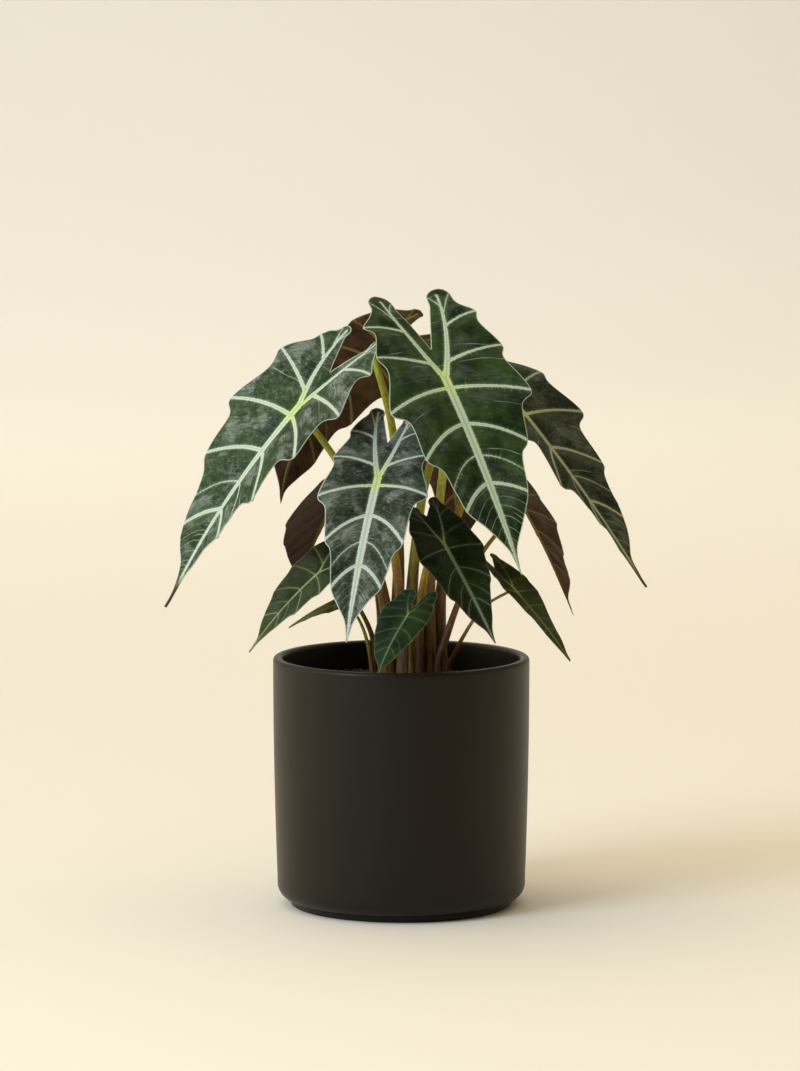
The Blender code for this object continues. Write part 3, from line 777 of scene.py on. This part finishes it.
def blade_halves(leaf):
    """Both halves of a blade with their vein and margin fields, in flat coordinates."""
    stations = [outline_stations(leaf, side) for side in ("left", "right")]
    reach = np.max([np.linalg.norm(np.diff(s[:, 0], axis=0), axis=1) for s in stations], 0)
    large = leaf["length"] > 100
    spacing, column = (0.85, 1.05) if large else (0.62, 0.75)
    counts = np.maximum(3, np.ceil(reach / spacing)).astype(int)
    width = max(end[0] for end in leaf["left"] + leaf["right"])
    columns = int(np.clip(width / column, 18, 56))
    halves = []
    for name, pairs, side in (("left", stations[0], 1), ("right", stations[1], -1)):
        flat, station, margin, inner, t = half_blade(pairs, counts, columns)
        veins, k = half_veins(leaf, leaf[name], pairs)
        x, y = flat[..., 0], flat[..., 1]
        rib_end = leaf["length"] + 0.55 * leaf["drip"]
        ahead = np.clip(y / rib_end, 0, 1)
        rib_width = k * (0.45 + 2.65 * leaf["rib"] * (1 - ahead ** 3.0))
        rib_gap = np.hypot(x, np.maximum(0, -y) + np.maximum(0, y - rib_end))
        edge, ratio, run = rib_gap - rib_width, x / rib_width, np.abs(y)
        ridge = rib_width * np.sqrt(np.clip(1 - ratio ** 2, 0, 1)) * (y > -2)
        for line, wide, narrow in veins:
            gap, share, along = from_line(flat, line)
            half_width = wide + (narrow - wide) * share ** 0.8
            here = np.abs(gap) - half_width
            closer = here < edge
            edge = np.where(closer, here, edge)
            ratio = np.where(closer, gap / half_width, ratio)
            run = np.where(closer, along + 11 * side, run)
            ridge = np.maximum(ridge, half_width * np.sqrt(
                np.clip(1 - (gap / half_width) ** 2, 0, 1)))
        lobe_edge = inner[station >= notch_station]
        outline = np.concatenate([margin[::3], margin[-1:], inner[-1:],
                                  lobe_edge[::-3], lobe_edge[:1]])
        from_edge = np.concatenate([np.abs(from_line(part, outline)[0])
                                    for part in np.array_split(flat, 12)])
        halves.append(dict(flat=flat * (side, 1), station=station, t=t, edge=edge, ratio=ratio,
                           run=run, ridge=ridge, from_edge=from_edge, k=k))
    return halves


def blade_mesh(leaf):
    """One blade as a closed shell, with its fields for every point.

    Upper sheet: the bent blade moved along its normal by the panels' bulge,
    1.5 (1 - exp(-(d / 6.5)^2)) for d the distance to a vein's edge, a quarter of that at
    the margin, plus the margin's waves, 1.5 t^2 sin(1.55 station) - 0.5 t^2.5 cos(pi
    station). Lower sheet: the same, a thickness lower, with each vein standing out of it
    as half an ellipse. A strip joins the rims.
    """
    halves = blade_halves(leaf)
    k = leaf["size"] = halves[0]["k"]
    rows, columns = halves[0]["t"].shape
    shared = int((halves[0]["station"] <= notch_station + 1e-6).sum())
    left = np.arange(rows * columns).reshape(rows, columns)
    right = left + rows * columns
    right[:shared, 0] = left[:shared, 0]
    used, right = np.unique(np.concatenate([left.ravel(), right.ravel()]),
                            return_inverse=True)
    left, right = right.reshape(2, rows, columns)

    def both(key):
        values = [h[key] if h[key].ndim > 1 else np.repeat(h[key][:, None], columns, 1)
                  for h in halves]
        joined = np.concatenate([v.reshape(rows * columns, *v.shape[2:]) for v in values])
        return joined[used]

    flat, t, station = both("flat"), both("t"), both("station")
    edge, from_edge, ridge = both("edge"), both("from_edge"), both("ridge")
    x, y = flat[:, 0], flat[:, 1]
    phase = leaf["heading"] * 0.11 + np.sign(x) * 1.3
    panel = 1 - np.exp(-(np.maximum(edge, 0) / (6.5 * k)) ** 2)
    inland = 1 - np.exp(-(from_edge / (6 * k)) ** 2)
    bulge = 1.5 * k * leaf["swell"] * panel * (0.25 + 0.75 * inland)
    waving = np.clip((station - 2.2) / 1.5, 0, 1) * np.clip((14.5 - station) / 2, 0, 1)
    waving *= leaf["scallop"] / 0.09
    wave = -0.5 * k * t ** 2.5 * np.cos(np.pi * station) * waving
    wave += 1.5 * k * t ** 2 * np.sin(1.55 * station + phase) * waving
    slow = 1.1 * k * np.sin(x / (19 * k) + phase) * np.sin(y / (27 * k) + 2 * phase) * t
    lift = bulge + wave + slow - 0.9
    thick = 0.42 + 0.45 * (1 - np.exp(-(from_edge / 3.0) ** 2))
    place, normal = bent(leaf, x, y), facing(leaf, x, y)
    upper = place + normal * (lift + 0.12 * ridge)[:, None]
    lower = place + normal * (lift - thick - 0.80 * ridge)[:, None]
    count = len(x)
    end = columns - 1
    rim = np.concatenate([
        left[:, end], left[-1, end - 1::-1], left[-2:shared - 2:-1, 0],
        right[shared:, 0], right[-1, 1:], right[-2::-1, end],
        right[0, end - 1:0:-1], left[0, :end]])
    nearest = np.roll(rim, -1)
    strip = np.stack([rim, rim + count, nearest + count, nearest], -1)
    sheet = np.concatenate([grid_faces(left), grid_faces(right)[:, ::-1]])
    if np.dot(np.cross(upper[sheet[0, 1]] - upper[sheet[0, 0]],
                       upper[sheet[0, 2]] - upper[sheet[0, 0]]), normal[sheet[0, 0]]) < 0:
        sheet = sheet[:, ::-1]
    else:
        strip = strip[:, ::-1]
    faces = np.concatenate([sheet, sheet[:, ::-1] + count, strip])
    fields = dict(
        vein=np.tile(np.stack([edge, both("ratio"), both("run")], -1), (2, 1)),
        place=np.stack([np.tile(np.hypot(x, y) / k, 2), np.tile(from_edge, 2),
                        np.repeat([0.0, 1.0], count)], -1),
        flow=np.tile(np.stack([station + 20 * (x < 0), t], -1), (2, 1)))
    return np.concatenate([upper, lower]), faces, fields


def store_uv(item, name, values):
    """Keeps a pair of numbers for every corner of every face, as a UV map."""
    layer = item.data.uv_layers.new(name=name)
    corner = np.empty(len(item.data.loops), np.int32)
    item.data.loops.foreach_get("vertex_index", corner)
    layer.data.foreach_set("uv", np.asarray(values, np.float32)[corner].ravel())


def leathery_blade():
    """Node group: a blade's colour, roughness and height on both its sides.

    Reads the blade's own fields, passed in: Vein is (distance to the nearest vein's edge,
    place across that vein, run along it), Place is (distance to the junction, distance to
    the margin, 0 on top and 1 below), Flow is (station, share from midrib to margin).
    """
    group, given, out = looks_group(
        "leathery_blade", ("Vein", "Place", "Flow"),
        ("Panel Dark", "Panel Light", "Sheen Silver", "Vein Colour", "Heart Colour", "Under Dark",
         "Under Light", "Under Rib"),
        ("Painted Sheen", "Fine Veins", "Edge Line", "Vein Strength", "Dry Tip", "Size"))
    (edge, across, run), (from_heart, from_edge, under), (station, share, _) = (
        given[name].xyz() for name in ("Vein", "Place", "Flow"))
    station = station.maths("MODULO", 20.0)
    where = node(group, "TexCoord", output="Object")

    def at(x, y, z=0.0):
        return node(group, "CombineXYZ", {0: x, 1: y, 2: z})

    # Hairs that fringe a vein: fast noise along its run, blended with noise of the surface.
    hair = at(run * 1.15, across * 0.10).noise(1.0, 2.0, 0.7)
    ragged = where.noise(520.0, 2.0, 0.6)
    fringe = ((hair - 0.52) * 2.4 + (ragged - 0.5)) * given["Size"]
    near = edge + fringe
    band = near.step(-0.30, 0.35, 1.0, 0.0)
    halo = (near + fringe).step(0.0, 2.4, 1.0, 0.0) * 0.10
    centre = across.maths("ABSOLUTE").step(0.10, 0.34, 1.0, 0.0)

    # Fine veins that follow the rows between two side veins, closer set towards the tip, and
    # wisps: hairs of the fringe that reach out over the panel here and there.
    drift = (where.noise(38.0, 2.0) - 0.5) * 0.9
    steady = station + drift * 0.20
    row_gap = ((steady + 0.5).maths("FRACT") - 0.5).maths("ABSOLUTE")
    fine = (row_gap * 18.0).step(0.10, 0.42, 1.0, 0.0)
    gate = where.noise(42.0, 1.0).step(0.46, 0.64)
    rung_gap = ((steady * 3.0).maths("FRACT") - 0.5).maths("ABSOLUTE")
    rung = (rung_gap * 6.0).step(0.06, 0.30, 1.0, 0.0) * station.step(3.0, 4.4, 0.75, 0.0)
    wisp = at(run * 1.7, across * 0.03, station * 0.35).noise(1.0, 2.0, 0.65)
    wisp = wisp.step(0.58, 0.68) * edge.step(0.0, 6.5, 0.75, 0.0)
    wisp = wisp * where.noise(50.0, 1.0).step(0.40, 0.60)
    fine = (fine * gate * 0.8).maths("MAXIMUM", rung).maths("MAXIMUM", wisp * 0.8)
    fine = fine * given["Fine Veins"]
    silk = at((station + drift) * 26.0, share * 5.0).noise(1.0, 3.0, 0.6, 0.6)
    cloud, broad = where.noise(60.0, 4.0, 0.6), where.noise(30.0, 2.0)
    mottle = where.noise(210.0, 3.0, 0.6, 1.2)

    # The upper side: clouded green panels, a painted silver sheen away from the veins, partly
    # the leaf's own silvery scratches, darker silky streaks, then the halo, fine veins, main
    # veins with painted shade down their grooves, and the pale margin.
    shade = cloud.step(0.34, 0.68) * 0.55 + broad.step(0.36, 0.62) * 0.45
    panel = mixed(shade, given["Panel Dark"], given["Panel Light"])
    streaky = silk.step(0.36, 0.62)
    # Painted sheen: the scratchy streaks and broad patches stand in for highlights on the
    # glossy blade, laid over the leaf's own faint silvery scratches.
    scratch_sheen = mottle.step(0.38, 0.66) * streaky * 0.38
    sheen_patches = where.noise(40.0, 3.0, 0.6).step(0.48, 0.62) * (streaky * 0.65 + 0.35)
    painted_sheen = scratch_sheen.maths("ADD", sheen_patches * 0.75, clamp=True) * given["Painted Sheen"]
    panel = mixed(painted_sheen * edge.step(0.3, 6.0, 0.40, 1.0), panel, given["Sheen Silver"])
    dark = mixed(1.0, panel, (0.62, 0.66, 0.62), "MULTIPLY")
    panel = mixed(silk.step(0.60, 0.34) * 0.5, panel, dark)
    pale = mixed(from_heart.step(3.0, 26.0, 0.85, 0.0), given["Vein Colour"],
                 given["Heart Colour"])
    panel = mixed(halo * given["Vein Strength"], panel, pale)
    panel = mixed(fine, panel, pale)
    # Painted shade: the middle of each main vein is darkened where its groove lies in shadow.
    inner = mixed(1.0, pale, (0.50, 0.60, 0.42), "MULTIPLY")
    vein = mixed(centre * 0.55, pale, inner)
    upper = mixed(band * given["Vein Strength"], panel, vein)
    margin = (from_edge + (ragged - 0.5) * 0.3).step(0.30, 0.85, 1.0, 0.0)
    upper = mixed(margin * given["Edge Line"], upper, given["Vein Colour"])

    # The underside: bronze, the ribs olive near the stalk and fading to bronze.
    lower = mixed(cloud.step(0.30, 0.72), given["Under Dark"], given["Under Light"])
    lower = mixed(silk.step(0.40, 0.66) * 0.45, lower, given["Under Light"])
    lower = mixed(broad.step(0.48, 0.66) * 0.07, lower, given["Under Rib"])
    rib = mixed(from_heart.step(30.0, 210.0), given["Under Rib"], given["Under Light"])
    lower = mixed(near.step(-0.4, 0.9, 0.85, 0.0), lower, rib)
    lower = mixed(fine * 0.5 * given["Fine Veins"], lower, rib)
    lower = mixed(margin * 0.5, lower, given["Under Rib"])
    dry = (station + drift * 0.6).step(0.95, 1.75, 1.0, 0.0) * given["Dry Tip"]
    feed(group, out, {
        "Color": mixed(dry, mixed(under, upper, lower), (0.075, 0.045, 0.022)),
        "Roughness": cloud.step(0.3, 0.7, 0.36, 0.48) + band * 0.12 + under * 0.10,
        "Height": (silk * 0.55 + mottle * 0.35 + band * 0.35 - centre * band * 0.6
                   - fine * 0.35)})
    return group


blade_group = leathery_blade()
# The grey of the painted sheen laid over the panels.
painted_sheen_grey = (0.315, 0.360, 0.315)
mint, straw = (0.55, 0.66, 0.55), (0.58, 0.72, 0.28)
under_brown = {"Under Dark": (0.030, 0.014, 0.0055), "Under Light": (0.108, 0.057, 0.031),
               "Under Rib": (0.27, 0.22, 0.070)}
# For each blade, the group's inputs of these names, and how light the underside is.
finish_names = ("Panel Dark", "Panel Light", "Painted Sheen", "Vein Colour", "Vein Strength",
                "Fine Veins", "Edge Line", "Dry Tip")
finishes = {
    "01": ((0.0045, 0.0145, 0.002), (0.025, 0.062, 0.012), 0.14, (0.50, 0.61, 0.45), 1.0, 0.60,
           0.85, 0.0, 1.0),
    "02": ((0.009, 0.026, 0.008), (0.036, 0.076, 0.026), 0.74, mint, 1.0, 0.60, 0.90, 1.0,
           1.0),
    "03": ((0.009, 0.017, 0.009), (0.036, 0.054, 0.034), 0.74, (0.54, 0.63, 0.56), 1.0,
           0.35, 0.85, 0.0, 1.0),
    "04": ((0.007, 0.014, 0.004), (0.030, 0.046, 0.018), 0.32, (0.44, 0.48, 0.32), 0.9,
           0.65, 0.35, 0.8, 1.0),
    "05": ((0.012, 0.022, 0.008), (0.026, 0.042, 0.016), 0.20, mint, 0.9, 0.80, 0.40, 0.0,
           1.15),
    "06": ((0.012, 0.020, 0.008), (0.024, 0.036, 0.014), 0.20, mint, 0.8, 1.20, 0.40, 0.0,
           0.60),
    "07": ((0.012, 0.031, 0.006), (0.034, 0.060, 0.015), 0.18, (0.36, 0.44, 0.27), 0.85,
           0.25, 0.50, 0.0, 1.0),
    "08": ((0.034, 0.050, 0.003), (0.085, 0.105, 0.010), 0.03, (0.20, 0.24, 0.07), 0.7,
           0.20, 0.30, 0.0, 1.3),
    "09": ((0.003, 0.010, 0.001), (0.020, 0.044, 0.007), 0.10, (0.36, 0.46, 0.30), 0.42,
           0.08, 0.22, 0.0, 1.0),
    "10": ((0.003, 0.010, 0.001), (0.019, 0.040, 0.008), 0.10, (0.37, 0.47, 0.36), 0.68,
           0.20, 0.25, 0.0, 1.0),
    "11": ((0.016, 0.031, 0.004), (0.052, 0.072, 0.014), 0.06, (0.24, 0.28, 0.10), 0.7,
           0.25, 0.40, 0.0, 1.0),
    "12": ((0.012, 0.020, 0.008), (0.024, 0.036, 0.014), 0.20, mint, 0.8, 1.50, 0.60, 0.0,
           1.1),
    "13": ((0.012, 0.026, 0.010), (0.026, 0.044, 0.018), 0.25, mint, 0.9, 0.40, 0.50, 0.0,
           1.2),
}

for number, leaf in leaves.items():
    leaf.update(zip(growth_names, growth[number]))
    points, faces, fields = blade_mesh(leaf)
    blade = mesh_piece("blade_" + number, points * 0.001 + (0, 0, soil_level), faces)
    store(blade, "vein", fields["vein"])
    store(blade, "place", fields["place"])
    store_uv(blade, "flow", fields["flow"])
    mat, tree, shader = new_material("blade_" + number)
    *finish, below = finishes[number]
    inputs = {name: np.array(value) * below for name, value in under_brown.items()}
    inputs.update(zip(finish_names, finish))
    inputs.update({
        "Vein": stored(tree, "vein"), "Place": stored(tree, "place"),
        "Flow": node(tree, "UVMap", uv_map="flow"), "Sheen Silver": painted_sheen_grey,
        "Heart Colour": straw, "Size": leaf["size"]})
    colour, roughness, height = node(tree, "Group", inputs, node_tree=blade_group).parts()
    # A leaf with a darker underside is also less glossy, or its sheen would lighten it.
    feed(tree, shader, {
        "Base Color": colour, "Roughness": roughness, "Normal": bump(height, 0.45, 0.0004),
        "IOR": 1.40, "Specular IOR Level": 0.11 * min(1.0, below) ** 2})
    blade.data.materials.append(mat)
    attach(blade, "root")
    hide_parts("leaf_blade_" + number)

# ------------------------------------------------------------------------------ the studio
# A cream paper sweep, one soft light from the upper left, a second that washes the wall, and
# a warm fill. The camera stands four metres off, above the pot's rim, and looks down a little.
floor_start, bend_start, bend, paper_top, paper_half = -9.0, 4.4, 1.4, 5.0, 9.0
sweep = np.array([(floor_start, 0.0), (bend_start, 0.0)]
                 + [(bend_start + bend * math.sin(a), bend - bend * math.cos(a))
                    for a in np.radians(np.linspace(4, 90, 24))]
                 + [(bend_start + bend, paper_top)])
paper = np.array([[(x, y, z) for x in (-paper_half, paper_half)] for y, z in sweep])
backdrop = mesh_piece("paper_sweep", paper.reshape(-1, 3),
                      grid_faces(np.arange(2 * len(sweep)).reshape(-1, 2))[:, ::-1])
cream, tree, shader = new_material("cream_paper")
feed(tree, shader, {"Base Color": (0.84, 0.812, 0.742), "Roughness": 0.9,
                    "Specular IOR Level": 0.1})
backdrop.data.materials.append(cream)


def soft_light(name, place, aim, size, power, colour):
    """A square area light at `place`, turned to face `aim`."""
    lamp = bpy.data.lights.new(name, "AREA")
    lamp.shape, lamp.size, lamp.energy, lamp.color = "SQUARE", size, power, colour
    item = bpy.data.objects.new(name, lamp)
    bpy.context.scene.collection.objects.link(item)
    item.location = place
    back = np.array(place, float) - np.array(aim, float)
    item.rotation_euler = (math.atan2(math.hypot(back[0], back[1]), back[2]), 0,
                           math.atan2(back[1], back[0]) + math.pi / 2)


soft_light("key", (-2.4, -2.0, 2.2), (0, 0, 0.25), 1.5, 76, (0.69, 0.86, 1.0))
soft_light("backdrop_wash", (-0.9, 3.6, 3.9), (-0.7, 5.7, 1.6), 2.8, 70, (0.85, 0.92, 1.0))

# The room: warm light from above, behind and both sides, dim on the viewer's side.
world = bpy.data.worlds.new("studio")
world.use_nodes = True
tree = world.node_tree
x, y, z = node(tree, "TexCoord", output="Generated").xyz()
depth, height = y.step(-0.80, 0.15, 0.01, 0.95), z.step(0.35, 0.90, 0.0, 0.95)
room = depth.maths("MAXIMUM", height) * x.step(-1.0, 1.0, 1.78, 0.66)
seen = node(tree, "LightPath", output="Is Camera Ray")
feed(tree, tree.nodes["Background"], {
    "Strength": room.maths("MAXIMUM", seen * 0.8),
    "Color": mixed(seen, (1.0, 0.85, 0.62), (1.0, 0.94, 0.83))})
bpy.context.scene.world = world
bpy.context.scene.view_settings.view_transform = "Standard"

camera_data = bpy.data.cameras.new("camera")
camera_data.lens, camera_data.sensor_width = 174.0, 36.0
camera_data.clip_start, camera_data.clip_end = 0.1, 50.0
camera = bpy.data.objects.new("camera", camera_data)
camera.location = (-0.001, -4.0, 0.749)
camera.rotation_euler = (math.radians(83.448), 0, 0)
bpy.context.scene.collection.objects.link(camera)
bpy.context.scene.camera = camera
